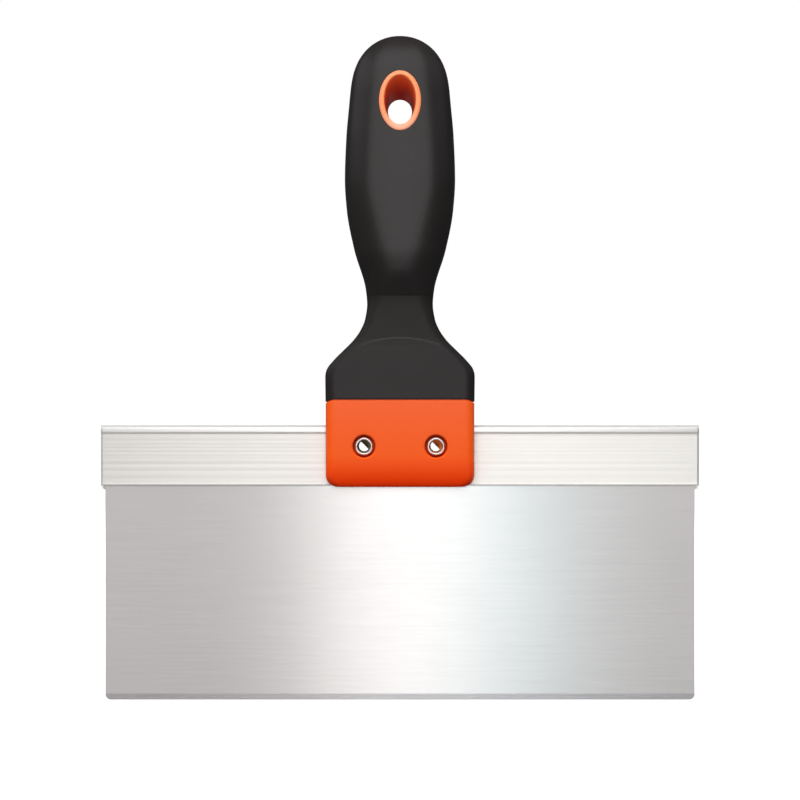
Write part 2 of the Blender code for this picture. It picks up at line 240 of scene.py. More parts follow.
# Softbox, in metres: warm, brightest in its middle, and cooler on the right of it
SOFTBOX_HALF_WIDTH = 0.55
SOFTBOX_BOTTOM = -0.42
SOFTBOX_TOP = 1.0
SOFTBOX_Y = -1.5
SOFTBOX_RADIANCE = 2.6
SOFTBOX_EDGE = 0.41
SOFTBOX_PEAK = 0.95
SOFTBOX_LEFT_FALL = (0.08, 2.7)  # width and steepness
SOFTBOX_RIGHT_FALL = (0.14, 2.2)
SOFTBOX_WARM = (1.04, 1.0, 0.99)
SOFTBOX_COOL = (0.93, 1.0, 1.01)
SOFTBOX_COOL_MIDDLE = 0.11
SOFTBOX_COOL_WIDTH = 0.065
SOFTBOX_BAND_HALF_WIDTH = 0.3
SOFTBOX_BAND_STEPS = 24

# Camera, in metres
CAMERA_DISTANCE = 1.05
CAMERA_HEIGHT = 0.1113
SHOWN_WIDTH = 0.2974
SENSOR_WIDTH_MM = 36.0


# Mesh building


def mesh_object(name, work):
    """A linked object from a bmesh, with its faces turned outwards."""
    bmesh.ops.recalc_face_normals(work, faces=work.faces)
    mesh = bpy.data.meshes.new(name)
    work.to_mesh(mesh)
    work.free()
    thing = bpy.data.objects.new(name, mesh)
    bpy.context.scene.collection.objects.link(thing)
    return thing


def loft(name, rings, closed=False):
    """A body through rings of equal length. A ring of one point closes an end."""
    work = bmesh.new()
    levels = []
    for ring in rings:
        levels.append([work.verts.new([value * MM for value in point]) for point in ring])
    pairs = list(zip(levels, levels[1:]))
    if closed:
        pairs.append((levels[-1], levels[0]))
    for low, high in pairs:
        count = max(len(low), len(high))
        for step in range(count):
            after = (step + 1) % count
            if len(high) == 1:
                work.faces.new((low[step], low[after], high[0]))
            elif len(low) == 1:
                work.faces.new((high[after], high[step], low[0]))
            else:
                work.faces.new((low[step], low[after], high[after], high[step]))
    if not closed:
        for end in (levels[0], levels[-1]):
            if len(end) > 1:
                work.faces.new(end)
    return mesh_object(name, work)


def prism(name, outline, axis, half_length):
    """An outline of (y, z) pushed along X, or of (x, z) pushed along Y, to both sides."""
    rings = []
    for reach in (-half_length, half_length):
        if axis == "X":
            rings.append([(reach, across, up) for across, up in outline])
        else:
            rings.append([(across, reach, up) for across, up in outline])
    return loft(name, rings)


def turned_y(name, outline, x, z, sides):
    """A closed outline of (radius, depth) turned about a line along Y."""
    rings = []
    for step in range(sides):
        across, up = cos(2 * pi * step / sides), sin(2 * pi * step / sides)
        rings.append([(x + radius * across, depth, z + radius * up) for radius, depth in outline])
    return loft(name, rings, closed=True)


def combine(target, cutter, operation):
    """Apply one exact Boolean and remove the cutter."""
    modifier = target.modifiers.new("combine", "BOOLEAN")
    modifier.operation = operation
    modifier.solver = "EXACT"
    modifier.object = cutter
    apply_modifiers(target)
    bpy.data.objects.remove(cutter)


def apply_modifiers(thing):
    """Turn an object's modifiers into its mesh."""
    bpy.context.view_layer.update()
    evaluated = thing.evaluated_get(bpy.context.evaluated_depsgraph_get())
    result = bpy.data.meshes.new_from_object(evaluated)
    thing.modifiers.clear()
    old = thing.data
    thing.data = result
    result.name = thing.name
    bpy.data.meshes.remove(old)


def round_edges(thing, width, segments, angle):
    """Round every edge that is sharper than the angle."""
    bevel = thing.modifiers.new("rounded", "BEVEL")
    bevel.width = width * MM
    bevel.segments = segments
    bevel.limit_method = "ANGLE"
    bevel.angle_limit = radians(angle)
    bevel.harden_normals = False
    apply_modifiers(thing)


def cut_across(thing, low, high, step):
    """Edges across a sheet at even heights, so that it can bend."""
    work = bmesh.new()
    work.from_mesh(thing.data)
    for index in range(int((high - low) / step) + 1):
        level = (0, 0, (low + index * step) * MM)
        everything = list(work.verts) + list(work.edges) + list(work.faces)
        bmesh.ops.bisect_plane(work, geom=everything, dist=1e-7, plane_co=level, plane_no=(0, 0, 1))
    work.to_mesh(thing.data)
    work.free()


def smooth(thing, angle):
    """Smooth shading, with edges sharper than the angle left sharp."""
    thing.data.shade_smooth()
    thing.data.set_sharp_from_angle(angle=radians(angle))


def grain_uv(thing):
    """A UV map in decimetres with its V along the metal's grain, which runs along X."""
    mesh = thing.data
    layer = mesh.uv_layers.new(name="grain")
    for face in mesh.polygons:
        sizes = [abs(value) for value in face.normal]
        facing = sizes.index(max(sizes))
        for corner in face.loop_indices:
            x, y, z = mesh.vertices[mesh.loops[corner].vertex_index].co * 10
            layer.data[corner].uv = ((z, y), (z, x), (y, x))[facing]


# Shapes of the handle


def curve_value(points, height):
    """A smooth curve through the points that never overshoots them."""
    heights = [point[0] for point in points]
    values = [point[1] for point in points]
    slopes = [
        (values[index + 1] - values[index]) / (heights[index + 1] - heights[index])
        for index in range(len(points) - 1)
    ]
    tangents = [slopes[0]]
    for before, after in zip(slopes, slopes[1:]):
        tangents.append(0.0 if before * after <= 0.0 else 2.0 * before * after / (before + after))
    tangents.append(slopes[-1])
    height = min(max(height, heights[0]), heights[-1])
    index = max(i for i in range(len(slopes)) if heights[i] <= height)
    span = heights[index + 1] - heights[index]
    t = (height - heights[index]) / span
    return (
        values[index] * (1 + 2 * t) * (1 - t) ** 2
        + values[index + 1] * t * t * (3 - 2 * t)
        + span * tangents[index] * t * (1 - t) ** 2
        - span * tangents[index + 1] * t * t * (1 - t)
    )


def smoothstep(value):
    """From 0 to 1 with soft ends."""
    value = min(max(value, 0.0), 1.0)
    return value * value * (3 - 2 * value)


def section(half_width, half_depth, corner_width, corner_depth, crown):
    """(x, y) points round a nearly flat front and back with superelliptical corners."""
    corner_width = min(corner_width, half_width)
    corner_depth = min(corner_depth, half_depth)
    flat = half_width - corner_width
    quarter = [(flat * step / FLAT_STEPS, half_depth) for step in range(FLAT_STEPS)]
    for step in range(ARC_STEPS + 1):
        angle = pi / 2 * (1 - step / ARC_STEPS)
        quarter.append((
            flat + corner_width * abs(cos(angle)) ** (2 / CORNER_POWER),
            half_depth - corner_depth + corner_depth * abs(sin(angle)) ** (2 / CORNER_POWER),
        ))
    side = half_depth - corner_depth
    quarter += [(half_width, side * (1 - step / SIDE_STEPS)) for step in range(1, SIDE_STEPS + 1)]
    quarter = [(x, y * (1 - crown * (x / half_width) ** 2)) for x, y in quarter]
    right = quarter + [(x, -y) for x, y in quarter[-2::-1]]
    left = [(-x, y) for x, y in right[-2:0:-1]]
    return right + left


def handle_sizes(height, inset):
    """Half width, half depth, corner width and corner depth of the handle at a height."""
    cap = min(max((height - CAP_START) / (HANDLE_TOP - inset - CAP_START), 0.0), 1.0)
    shrink = sqrt(1 - cap**3)
    return (
        (curve_value(HALF_WIDTH, height) - inset) * shrink,
        (curve_value(HALF_DEPTH, height) - inset) * shrink,
        max(curve_value(CORNER_WIDTH, height) - inset, LEAST_CORNER) * shrink,
        max(curve_value(CORNER_DEPTH, height) - inset, LEAST_CORNER) * shrink,
    )


def skin_depth(x, height):
    """Distance of the grip's front or back from the middle plane."""
    half_width, half_depth, corner_width, corner_depth = handle_sizes(height, 0.0)
    over = max(abs(x) - (half_width - corner_width), 0.0) / corner_width
    depth = half_depth - corner_depth * (1 - max(1 - over**CORNER_POWER, 0.0) ** (1 / CORNER_POWER))
    return depth * (1 - curve_value(CROWN, height) * (x / half_width) ** 2)


def side_drop(x):
    """How far the seam between clip and grip falls away at the sides."""
    return SEAM_DROP * smoothstep((abs(x) - SEAM_DROP_START) / SEAM_DROP_WIDTH)


def grip_ring(height, inset=0.0):
    """The grip's outer section, with its raised arch and its dropped lower corners."""
    ring = []
    near_seam = 1 - smoothstep((height - GRIP_BOTTOM) / SEAM_DROP_REACH)
    for x, y in section(*handle_sizes(height, inset), curve_value(CROWN, height)):
        above = height - (ARCH_TOP - ARCH_BOW * x * x)
        dip = ARCH_STEP * smoothstep(above / ARCH_SOFTNESS + 0.5) * (1 - smoothstep(above / ARCH_FADE))
        y -= dip * smoothstep(abs(y) / 3.0) * (1 if y > 0 else -1)
        ring.append((x, y, height - near_seam * side_drop(x)))
    return ring


def spread(low, high, step):
    """Even heights from low up to high, at most a step apart."""
    count = max(1, int((high - low) / step + 0.999))
    return [low + (high - low) * index / count for index in range(count)]


def cap_heights(top, count):
    """Heights over the rounded end of the handle, closer together towards its top."""
    return [CAP_START + (1 - (1 - step / count) ** 2) * (top - CAP_START) for step in range(count)]


def grip_rings():
    """One unbroken skin: down the cavity from its pole, round the lower rim and up to the outer pole."""
    cavity_top = HANDLE_TOP - CAVITY_INSET
    inner = spread(GRIP_BOTTOM, CAP_START, 5.0) + cap_heights(cavity_top, 8)
    rings = [[(0.0, 0.0, cavity_top)]]
    for height in reversed(inner):
        ring = section(*handle_sizes(height, CAVITY_INSET), curve_value(CROWN, height))
        rings.append([(x, y, height) for x, y in ring])
    for step in range(5):
        angle = pi / 2 * step / 4
        rings.append(grip_ring(GRIP_BOTTOM + GRIP_RIM * (1 - cos(angle)), GRIP_RIM * (1 - sin(angle))))
    bands = ((127.0, 1.2), (136.0, 0.22), (148.5, 0.9), (152.5, 0.25), (176.0, 0.9), (CAP_START, 1.5))
    start = GRIP_BOTTOM + 2 * GRIP_RIM
    for end, step in bands:
        rings += [grip_ring(height) for height in spread(start, end, step)]
        start = end
    rings += [grip_ring(height) for height in cap_heights(HANDLE_TOP, 28)]
    rings.append([(0.0, 0.0, HANDLE_TOP)])
    return rings


def clip_ring(height):
    """The clip's section: its foot corners are round and both faces roll in at the bottom."""
    foot = max(CLIP_BOTTOM + CLIP_FOOT_RADIUS - height, 0.0)
    shoulder = max(height - CLIP_TOP + CLIP_SHOULDER_RADIUS, 0.0)
    roll = max(CLIP_BOTTOM + CLIP_ROLL - height, 0.0) / CLIP_ROLL
    rounded = CLIP_SHOULDER_RADIUS - sqrt(max(CLIP_SHOULDER_RADIUS**2 - shoulder**2, 0.0))
    drawn_in = CLIP_FOOT_RADIUS - sqrt(max(CLIP_FOOT_RADIUS**2 - foot**2, 0.0)) + rounded
    shallow = (CLIP_HALF_DEPTH - CLIP_TOE_HALF_DEPTH) * (1 - sqrt(max(1 - roll**2, 0.0)))
    half_depth = CLIP_HALF_DEPTH - shallow - rounded
    near_seam = smoothstep((height - CLIP_TOP) / SEAM_DROP_REACH + 1)
    points = section(CLIP_HALF_WIDTH - drawn_in, half_depth, CLIP_EDGE_RADIUS, CLIP_EDGE_RADIUS, 0.0)
    return [(x, y, height - near_seam * side_drop(x)) for x, y in points]


def clip_rings():
    """The clip from its foot to the floor of the seam."""
    heights = [CLIP_BOTTOM + CLIP_FOOT_RADIUS * (1 - cos(pi / 2 * step / 14)) for step in range(14)]
    heights += spread(CLIP_BOTTOM + CLIP_FOOT_RADIUS, CLIP_BOTTOM + CLIP_ROLL, 0.6)
    heights += spread(CLIP_BOTTOM + CLIP_ROLL, CLIP_TOP - CLIP_SHOULDER_RADIUS, 1.4)
    heights += [CLIP_TOP - CLIP_SHOULDER_RADIUS * (1 - sin(pi / 2 * step / 7)) for step in range(8)]
    rings = [clip_ring(height) for height in heights]
    lift = SEAM_FLOOR - CLIP_TOP
    rings.append([(x, y, z + lift) for x, y, z in rings[-1]])
    return rings


def oval_at(front, back, depth):
    """The oval between a front and a back one, at a depth."""
    share = (depth / HOLE_HALF_SPAN + 1) / 2
    return [front[i] + (back[i] - front[i]) * share for i in range(3)]


def oval_bar(name, front, back, grow, sides=96):
    """A slanted bar through the front and back ovals, a little larger than they are."""
    turns = [2 * pi * step / sides for step in range(sides)]
    rings = []
    for depth in (-1.35 * HOLE_HALF_SPAN, 1.35 * HOLE_HALF_SPAN):
        centre, wide, tall = oval_at(front, back, depth)
        wide += grow
        tall += grow
        rings.append([(wide * cos(turn), depth, centre + tall * sin(turn)) for turn in turns])
    return loft(name, rings)


def eyelet(name, sides=128, rim_steps=12, wall_steps=10):
    """The lining of the hanging hole, with a rounded rim standing proud at each end."""
    rings = []
    for step in range(sides):
        turn = 2 * pi * step / sides
        across, up = cos(turn), sin(turn)
        profile = []
        for side, hole, boss in ((-1, HOLE_FRONT, BOSS_FRONT), (1, HOLE_BACK, BOSS_BACK)):
            rim = []
            for part in range(rim_steps + 1):
                share = part / rim_steps
                centre, wide, tall = (boss[i] + (hole[i] - boss[i]) * share for i in range(3))
                x, z = wide * across, centre + tall * up
                rise = RIM_RISE * sin(pi * share) ** 0.5 if 0 < share < 1 else 0.0
                rim.append((x, side * (skin_depth(x, z) + rise), z))
            profile.append(rim)
        front, back = profile
        wall = []
        for part in range(1, wall_steps):
            share = part / wall_steps
            wall.append(tuple(front[-1][i] + (back[-1][i] - front[-1][i]) * share for i in range(3)))
        rings.append(front + wall + list(reversed(back)))
    return loft(name, rings, closed=True)


# Materials


def new_material(name):
    """A material with its node tree and its shader."""
    material = bpy.data.materials.new(name)
    material.use_nodes = True
    tree = material.node_tree
    return material, tree, tree.nodes["Principled BSDF"]


def add_node(tree, kind, **settings):
    """A node with its inputs and properties set by name."""
    node = tree.nodes.new(kind)
    for key, value in settings.items():
        if key in node.inputs:
            node.inputs[key].default_value = value
        else:
            setattr(node, key, value)
    return node


def place_on_piece(tree):
    """A point's X, Y and Z on its piece."""
    coordinates = add_node(tree, "ShaderNodeTexCoord")
    place_on = add_node(tree, "ShaderNodeSeparateXYZ")
    tree.links.new(coordinates.outputs["Object"], place_on.inputs["Vector"])
    return place_on.outputs


def noise(tree, source, scale, detail=3.0, stretch=(1.0, 1.0, 1.0)):
    """Noise over a vector, with its own stretch along each axis."""
    mapping = add_node(tree, "ShaderNodeMapping", Scale=stretch)
    tree.links.new(source, mapping.inputs["Vector"])
    texture = add_node(tree, "ShaderNodeTexNoise", Scale=scale, Detail=detail)
    tree.links.new(mapping.outputs["Vector"], texture.inputs["Vector"])
    return texture.outputs["Fac"]


def remap(tree, source, low, high, start=0.3, end=0.7):
    """A value from start to end turned into one from low to high."""
    node = add_node(tree, "ShaderNodeMapRange")
    node.inputs["From Min"].default_value = start
    node.inputs["From Max"].default_value = end
    node.inputs["To Min"].default_value = low
    node.inputs["To Max"].default_value = high
    tree.links.new(source, node.inputs["Value"])
    return node.outputs["Result"]


def tint(tree, source, dark, light):
    """A colour between two, mixed by a value."""
    node = add_node(tree, "ShaderNodeMix", data_type="RGBA")
    node.inputs[6].default_value = (*dark, 1.0)
    node.inputs[7].default_value = (*light, 1.0)
    tree.links.new(source, node.inputs[0])
    return node.outputs[2]


def bump(tree, shader, source, strength, distance):
    """Relief from a value, with its distance in millimetres."""
    node = add_node(tree, "ShaderNodeBump", Strength=strength, Distance=distance * MM)
    tree.links.new(source, node.inputs["Height"])
    tree.links.new(node.outputs["Normal"], shader.inputs["Normal"])


def graded(tree, tone, source, axis, start, end):
    """A value that rises from 0 to 1 between two places on an axis, with a little of the tone in it."""
    place_on = add_node(tree, "ShaderNodeSeparateXYZ")
    tree.links.new(source, place_on.inputs["Vector"])
    along = remap(tree, place_on.outputs[axis], 0.0, 1.0, start, end)
    mixed = add_node(tree, "ShaderNodeMath", operation="MULTIPLY_ADD")
    mixed.inputs[1].default_value = 0.12
    tree.links.new(tone, mixed.inputs[0])
    tree.links.new(along, mixed.inputs[2])
    return mixed.outputs[0]


def brushed_metal(
    name, dark, light, roughness, spread_by, anisotropy, line_scale, line_depth, metallic=1.0, painted_light_drift=False
):
    """Metal with fine lines along X. The map's U runs across the lines and V along them.

    With painted_light_drift, the metal goes from the dark to the light tone along its length: painted
    light, darker at the left end and lighter at the right.
    """
    material, tree, shader = new_material(name)
    shader.inputs["Metallic"].default_value = metallic
    shader.inputs["Anisotropic"].default_value = anisotropy
    coordinates = add_node(tree, "ShaderNodeUVMap", uv_map="grain")
    tangent = add_node(tree, "ShaderNodeTangent", direction_type="UV_MAP", uv_map="grain")
    tree.links.new(tangent.outputs["Tangent"], shader.inputs["Tangent"])
    fine = noise(tree, coordinates.outputs["UV"], line_scale, 4.0, (1.0, 0.012, 1.0))
    broad = noise(tree, coordinates.outputs["UV"], line_scale * 0.12, 3.0, (1.0, 0.03, 1.0))
    cloud = noise(tree, coordinates.outputs["UV"], 3.0, 2.0)
    tone = remap(tree, broad, 0.0, 1.0)
    # Painted light: the tone goes from dark to light along the piece.
    if painted_light_drift:
        tone = graded(tree, tone, coordinates.outputs["UV"], "Y", -1.1, 1.1)
    tree.links.new(tint(tree, tone, dark, light), shader.inputs["Base Color"])
    rough_lines = remap(tree, fine, roughness - spread_by, roughness + spread_by)
    rough_cloud = remap(tree, cloud, -0.5 * spread_by, 0.5 * spread_by)
    total = add_node(tree, "ShaderNodeMath", operation="ADD")
    tree.links.new(rough_lines, total.inputs[0])
    tree.links.new(rough_cloud, total.inputs[1])
    tree.links.new(total.outputs[0], shader.inputs["Roughness"])
    bump(tree, shader, fine, 0.35, line_depth)
    return material


def rail_metal(name):
    """Extruded aluminium with painted light that lightens it along the rail from left to right, and
    painted shade in the crease under the bead.
    """
    # The rail is painted lighter towards its right end, where more light falls.
    material = brushed_metal(
        name, RAIL_SHADED_LEFT, RAIL_LIT_RIGHT, 0.46, 0.04, 0.2, 500.0, 0.008, metallic=0.45, painted_light_drift=True
    )
    tree = material.node_tree
    colour = tree.nodes["Principled BSDF"].inputs["Base Color"]
    start, end = CREASE_SHADE_HEIGHTS
    # Painted shade: the colour darkens in the crease under the bead, where the bead shades the flange.
    crease = add_node(tree, "ShaderNodeMix", data_type="RGBA")
    crease.inputs[7].default_value = (*CREASE_SHADE, 1.0)
    height = place_on_piece(tree)["Z"]
    tree.links.new(remap(tree, height, 0.0, 1.0, start * MM, end * MM), crease.inputs[0])
    tree.links.new(colour.links[0].from_socket, crease.inputs[6])
    tree.links.new(crease.outputs[2], colour)
    return material


def moulded_plastic(name, dark, light, roughness, specular, grain_scale, grain_depth, fade=None):
    """Plastic or rubber with a fine moulded grain and a faint unevenness of colour and gloss.

    With a fade, which is an axis and two places on it, the tone goes from the first to the second.
    """
    material, tree, shader = new_material(name)
    shader.inputs["Specular IOR Level"].default_value = specular
    coordinates = add_node(tree, "ShaderNodeTexCoord")
    grain = noise(tree, coordinates.outputs["Object"], grain_scale, 3.0)
    cloud = noise(tree, coordinates.outputs["Object"], 35.0, 3.0)
    tone = remap(tree, cloud, 0.0, 1.0)
    if fade:
        axis, start, end = fade
        tone = graded(tree, tone, coordinates.outputs["Object"], axis, start * MM, end * MM)
    tree.links.new(tint(tree, tone, dark, light), shader.inputs["Base Color"])
    tree.links.new(remap(tree, grain, roughness - 0.05, roughness + 0.05), shader.inputs["Roughness"])
    bump(tree, shader, grain, 0.3, grain_depth)
    return material


def clip_plastic(name):
    """Moulded orange that is less glossy towards the rolled-in foot of the clip, with painted shade that
    deepens its colour there.
    """
    # The deeper orange at the foot is painted shade.
    fade = ("Z", *CLIP_SHADE_HEIGHTS)
    material = moulded_plastic(name, CLIP_FOOT_SHADE, CLIP_FACE, 0.42, 0.28, 2600.0, 0.02, fade)
    tree = material.node_tree
    start, end = CLIP_SHINE_HEIGHTS
    shine = remap(tree, place_on_piece(tree)["Z"], *CLIP_SHINE, start * MM, end * MM)
    tree.links.new(shine, tree.nodes["Principled BSDF"].inputs["Specular IOR Level"])
    return material


def soft_rubber(name):
    """Charcoal soft-touch skin, duller on the neck below the belly and less so on the shoulders."""
    material, tree, shader = new_material(name)
    coordinates = add_node(tree, "ShaderNodeTexCoord")
    height = place_on_piece(tree)["Z"]
    belly = remap(tree, height, 0.0, 1.0, *(level * MM for level in BELLY_START))
    shoulder = remap(tree, height, SHOULDER_SHINE, NECK_SHINE, *(level * MM for level in NECK_START))
    grain = noise(tree, coordinates.outputs["Object"], 3200.0, 3.0)
    cloud = noise(tree, coordinates.outputs["Object"], 35.0, 3.0)
    tone = tint(tree, remap(tree, cloud, 0.0, 1.0), RUBBER_DARK, RUBBER_LIGHT)
    tree.links.new(tone, shader.inputs["Base Color"])
    shine = add_node(tree, "ShaderNodeMix", data_type="FLOAT")
    shine.inputs[3].default_value = BELLY_SHINE
    tree.links.new(belly, shine.inputs[0])
    tree.links.new(shoulder, shine.inputs[2])
    tree.links.new(shine.outputs[0], shader.inputs["Specular IOR Level"])
    dullness = remap(tree, belly, NECK_DULLNESS, 0.0, 0.0, 1.0)
    rough = remap(tree, grain, GRIP_ROUGHNESS - 0.04, GRIP_ROUGHNESS + 0.04)
    total = add_node(tree, "ShaderNodeMath", operation="ADD")
    tree.links.new(dullness, total.inputs[0])
    tree.links.new(rough, total.inputs[1])
    tree.links.new(total.outputs[0], shader.inputs["Roughness"])
    bump(tree, shader, grain, 0.3, 0.03)
    return material


def polished_metal(name, colour, roughness):
    """Bright plated metal with faint turning marks."""
    material, tree, shader = new_material(name)
    shader.inputs["Metallic"].default_value = 1.0
    coordinates = add_node(tree, "ShaderNodeTexCoord")
    marks = noise(tree, coordinates.outputs["Object"], 900.0, 3.0)
    darker = tuple(value * 0.9 for value in colour)
    tree.links.new(tint(tree, remap(tree, marks, 0.0, 1.0), darker, colour), shader.inputs["Base Color"])
    tree.links.new(remap(tree, marks, roughness - 0.03, roughness + 0.05), shader.inputs["Roughness"])
    bump(tree, shader, marks, 0.15, 0.02)
    return material


blade_steel = brushed_metal(
    "blade_steel", (0.545, 0.545, 0.545), (0.565, 0.565, 0.565), 0.22, 0.012, 1.0, 900.0, 0.0012
)
ground_steel = brushed_metal(
    "ground_steel", (0.74, 0.725, 0.755), (0.82, 0.81, 0.835), 0.26, 0.02, 0.9, 1400.0, 0.003
)
rail_aluminium = rail_metal("rail_aluminium")
orange_plastic = clip_plastic("orange_plastic")
# Painted highlight: the hanging hole's rims are a lighter orange, pinker towards their bottom where they
# face up.
painted_rim_highlight = moulded_plastic(
    "painted_rim_highlight", (1.0, 0.42, 0.27), (0.97, 0.27, 0.10), 0.3, 0.8, 2600.0, 0.01, ("Z", 209.0, 218.0)
)
# Painted shade: the hanging hole's wall darkens from the front towards the back.
hole_wall_shade = moulded_plastic(
    "hole_wall_shade", (1.0, 0.24, 0.07), (0.46, 0.056, 0.024), 0.5, 0.15, 2600.0, 0.02, ("Y", -11.0, 5.0)
)
# Painted shade: a dark red in the counterbores round the rivets.
counterbore_shade = moulded_plastic(
    "counterbore_shade", (0.60, 0.030, 0.003), (0.68, 0.038, 0.004), 0.5, 0.1, 2600.0, 0.02
)
soft_grip = soft_rubber("soft_grip")
# Painted highlight: a lighter, glossier line along the arch over the grip's shoulders.
painted_arch_highlight = moulded_plastic(
    "painted_arch_highlight", (0.013, 0.012, 0.012), (0.017, 0.016, 0.016), 0.42, 0.5, 3200.0, 0.02
)
# Painted highlight: a near-white, more metallic copy of the aluminium for the rail's bead and its ends,
# where the light catches them.
painted_bead_highlight = brushed_metal(
    "painted_bead_highlight", (0.97, 0.965, 0.95), (1.0, 0.995, 0.98), 0.36, 0.03, 0.2, 500.0, 0.004, metallic=0.66
)
rivet_steel = polished_metal("rivet_steel", (1.0, 0.87, 0.82), 0.26)
# Painted light inside the rivets' bores, on the wall where it is pushed in: painted shade, dark olive, in
# the left rivet, and a painted orange reflection in the right.
left_bore_painted_shade = moulded_plastic(
    "left_bore_painted_shade", (0.13, 0.105, 0.045), (0.18, 0.15, 0.07), 0.4, 0.8, 900.0, 0.01
)
right_bore_painted_reflection = moulded_plastic(
    "right_bore_painted_reflection", (0.55, 0.15, 0.03), (0.65, 0.19, 0.05), 0.4, 0.8, 900.0, 0.01
)


# Pieces


def place(piece, slot, *materials):
    """Give a piece of the handle its materials, and let it ride on the handle."""
    for material in materials:
        piece.data.materials.append(material)
    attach(piece, "handle")


def drill_rivet_holes(piece):
    """Clear holes for both rivets."""
    hole = [(0.01, -5.0), (RIVET_HOLE, -5.0), (RIVET_HOLE, 5.0), (0.01, 5.0)]
    for side in (-1, 1):
        combine(piece, turned_y("cutter", hole, side * RIVET_X, RIVET_Z, 48), "DIFFERENCE")


def build_blade():
    """A steel sheet with a bevel ground on the front of its working edge."""
    half, corner = BLADE_HALF_WIDTH, BLADE_CORNER
    outline = [(-half, BLADE_TOP)]
    for side, turn in ((-1, pi), (1, 1.5 * pi)):
        for step in range(13):
            angle = turn + pi / 2 * step / 12
            outline.append((side * (half - corner) + corner * cos(angle), corner + corner * sin(angle)))
    outline.append((half, BLADE_TOP))
    blade = prism("blade_sheet", outline, "Y", BLADE_HALF_THICKNESS)
    front = -BLADE_HALF_THICKNESS
    edge = front + BEVEL_DEPTH
    beyond = -9.0
    wedge = (
        (front, BEVEL_HEIGHT),
        (edge, 0.0),
        (edge, beyond),
        (beyond, beyond),
        (beyond, BEVEL_HEIGHT),
    )
    combine(blade, prism("cutter", wedge, "X", 2 * half), "DIFFERENCE")
    drill_rivet_holes(blade)
    round_edges(blade, 0.05, 2, 60.0)
    cut_across(blade, BEVEL_HEIGHT + 0.4, BEND_START + 2.0, BEND_STRIP)
    blade.data.materials.append(blade_steel)
    blade.data.materials.append(ground_steel)
    for face in blade.data.polygons:
        face.material_index = 1 if face.normal.z < -0.05 and face.normal.y < -0.3 else 0
    grain_uv(blade)
    smooth(blade, 5.0)
    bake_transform(blade)
    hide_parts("blade")


def flange_lines(side, depth_share):
    """Points down one face of the rail: the crease under the bead, the fine grooves and the rolled lip."""
    face = FLANGE_HALF_DEPTH
    bottom = FRONT_LIP if side < 0 else REAR_LIP
    points = [(BEAD_HALF_DEPTH, BEAD_BOTTOM), (2.0, 99.15), (1.66, 98.85), (1.66, 98.55), (face, 97.9)]
    for index, height in enumerate(RAIL_GROOVES):
        depth = depth_share * GROOVE_DEPTH * (1 + sin(2.3 * index + 0.6) ** 2)
        points += [
            (face, height + GROOVE_HALF_WIDTH),
            (face - depth, height),
            (face, height - GROOVE_HALF_WIDTH),
        ]
    lip = bottom + LIP_MIDDLE
    points.append((face, lip + 0.6))
    for step in range(7):
        angle = pi * step / 6
        points.append((face + LIP_RISE * sin(angle), lip + LIP_HALF_HEIGHT * cos(angle)))
    points += [(face - 0.03, bottom + 0.06), (face - 0.12, bottom)]
    return [(side * depth, height) for depth, height in points]


def rail_ring(x, draw_in, depth_share):
    """The channel's section at a place along it, drawn in a little at its ends."""
    bead = []
    for step in range(33):
        angle = pi * step / 32
        bead.append((BEAD_HALF_DEPTH * cos(angle), BEAD_SPRING + (RAIL_TOP - BEAD_SPRING) * sin(angle)))
    outside = bead + flange_lines(-1, depth_share)
    inside = [
        (-SLOT_HALF_DEPTH, FRONT_LIP),
        (-SLOT_HALF_DEPTH, SLOT_TOP),
        (SLOT_HALF_DEPTH, SLOT_TOP),
        (SLOT_HALF_DEPTH, REAR_LIP),
    ]
    behind = list(reversed(flange_lines(1, depth_share)))
    ring = [(x, y - draw_in * y / abs(y) if abs(y) > 0.6 else y, z) for y, z in outside]
    ring += [(x, y, z) for y, z in inside]
    return ring + [(x, y - draw_in, z) for y, z in behind]


def build_rail():
    """An aluminium channel: a round bead along the top, fine grooves, and a thin lip at the bottom."""
    rings = []
    for side, depth_share in ((-1, 1.0), (1, 0.45)):
        end = [rail_ring(side * CLIP_HALF_WIDTH, 0.0, depth_share)]
        for inset, draw_in in ((RAIL_END + 0.15, 0.0), (RAIL_END, 0.03), (0.12, 0.38), (0.0, 0.5)):
            end.append(rail_ring(side * (RAIL_HALF_LENGTH - inset), draw_in, depth_share))
        rings += end if side > 0 else list(reversed(end))
    rail = loft("rail_channel", rings)
    drill_rivet_holes(rail)
    grain_uv(rail)
    smooth(rail, 30.0)
    place(rail, "rail_aluminium", rail_aluminium, painted_bead_highlight)
    # The bead and the ends take the painted highlight.
    for face in rail.data.polygons:
        near_end = abs(face.center.x) / MM > RAIL_HALF_LENGTH - RAIL_END - 0.1
        if face.center.z / MM > BEAD_BOTTOM or near_end:
            face.material_index = 1
    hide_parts("backer_rail")


def counterbore_outline():
    """Half of the rivet cutter's outline: the bore, the counterbore and its flared mouth."""
    mouth = COUNTERBORE + COUNTERBORE_FLARE
    points = [(RIVET_HOLE, 0.0), (RIVET_HOLE, COUNTERBORE_FLOOR), (COUNTERBORE, COUNTERBORE_FLOOR)]
    for step in range(7):
        angle = pi / 2 * step / 6
        radius = mouth - COUNTERBORE_FLARE * cos(angle)
        points.append((radius, CLIP_HALF_DEPTH - COUNTERBORE_FLARE * (1 - sin(angle))))
    return points + [(mouth, CLIP_HALF_DEPTH + 4.0), (0.01, CLIP_HALF_DEPTH + 4.0)]


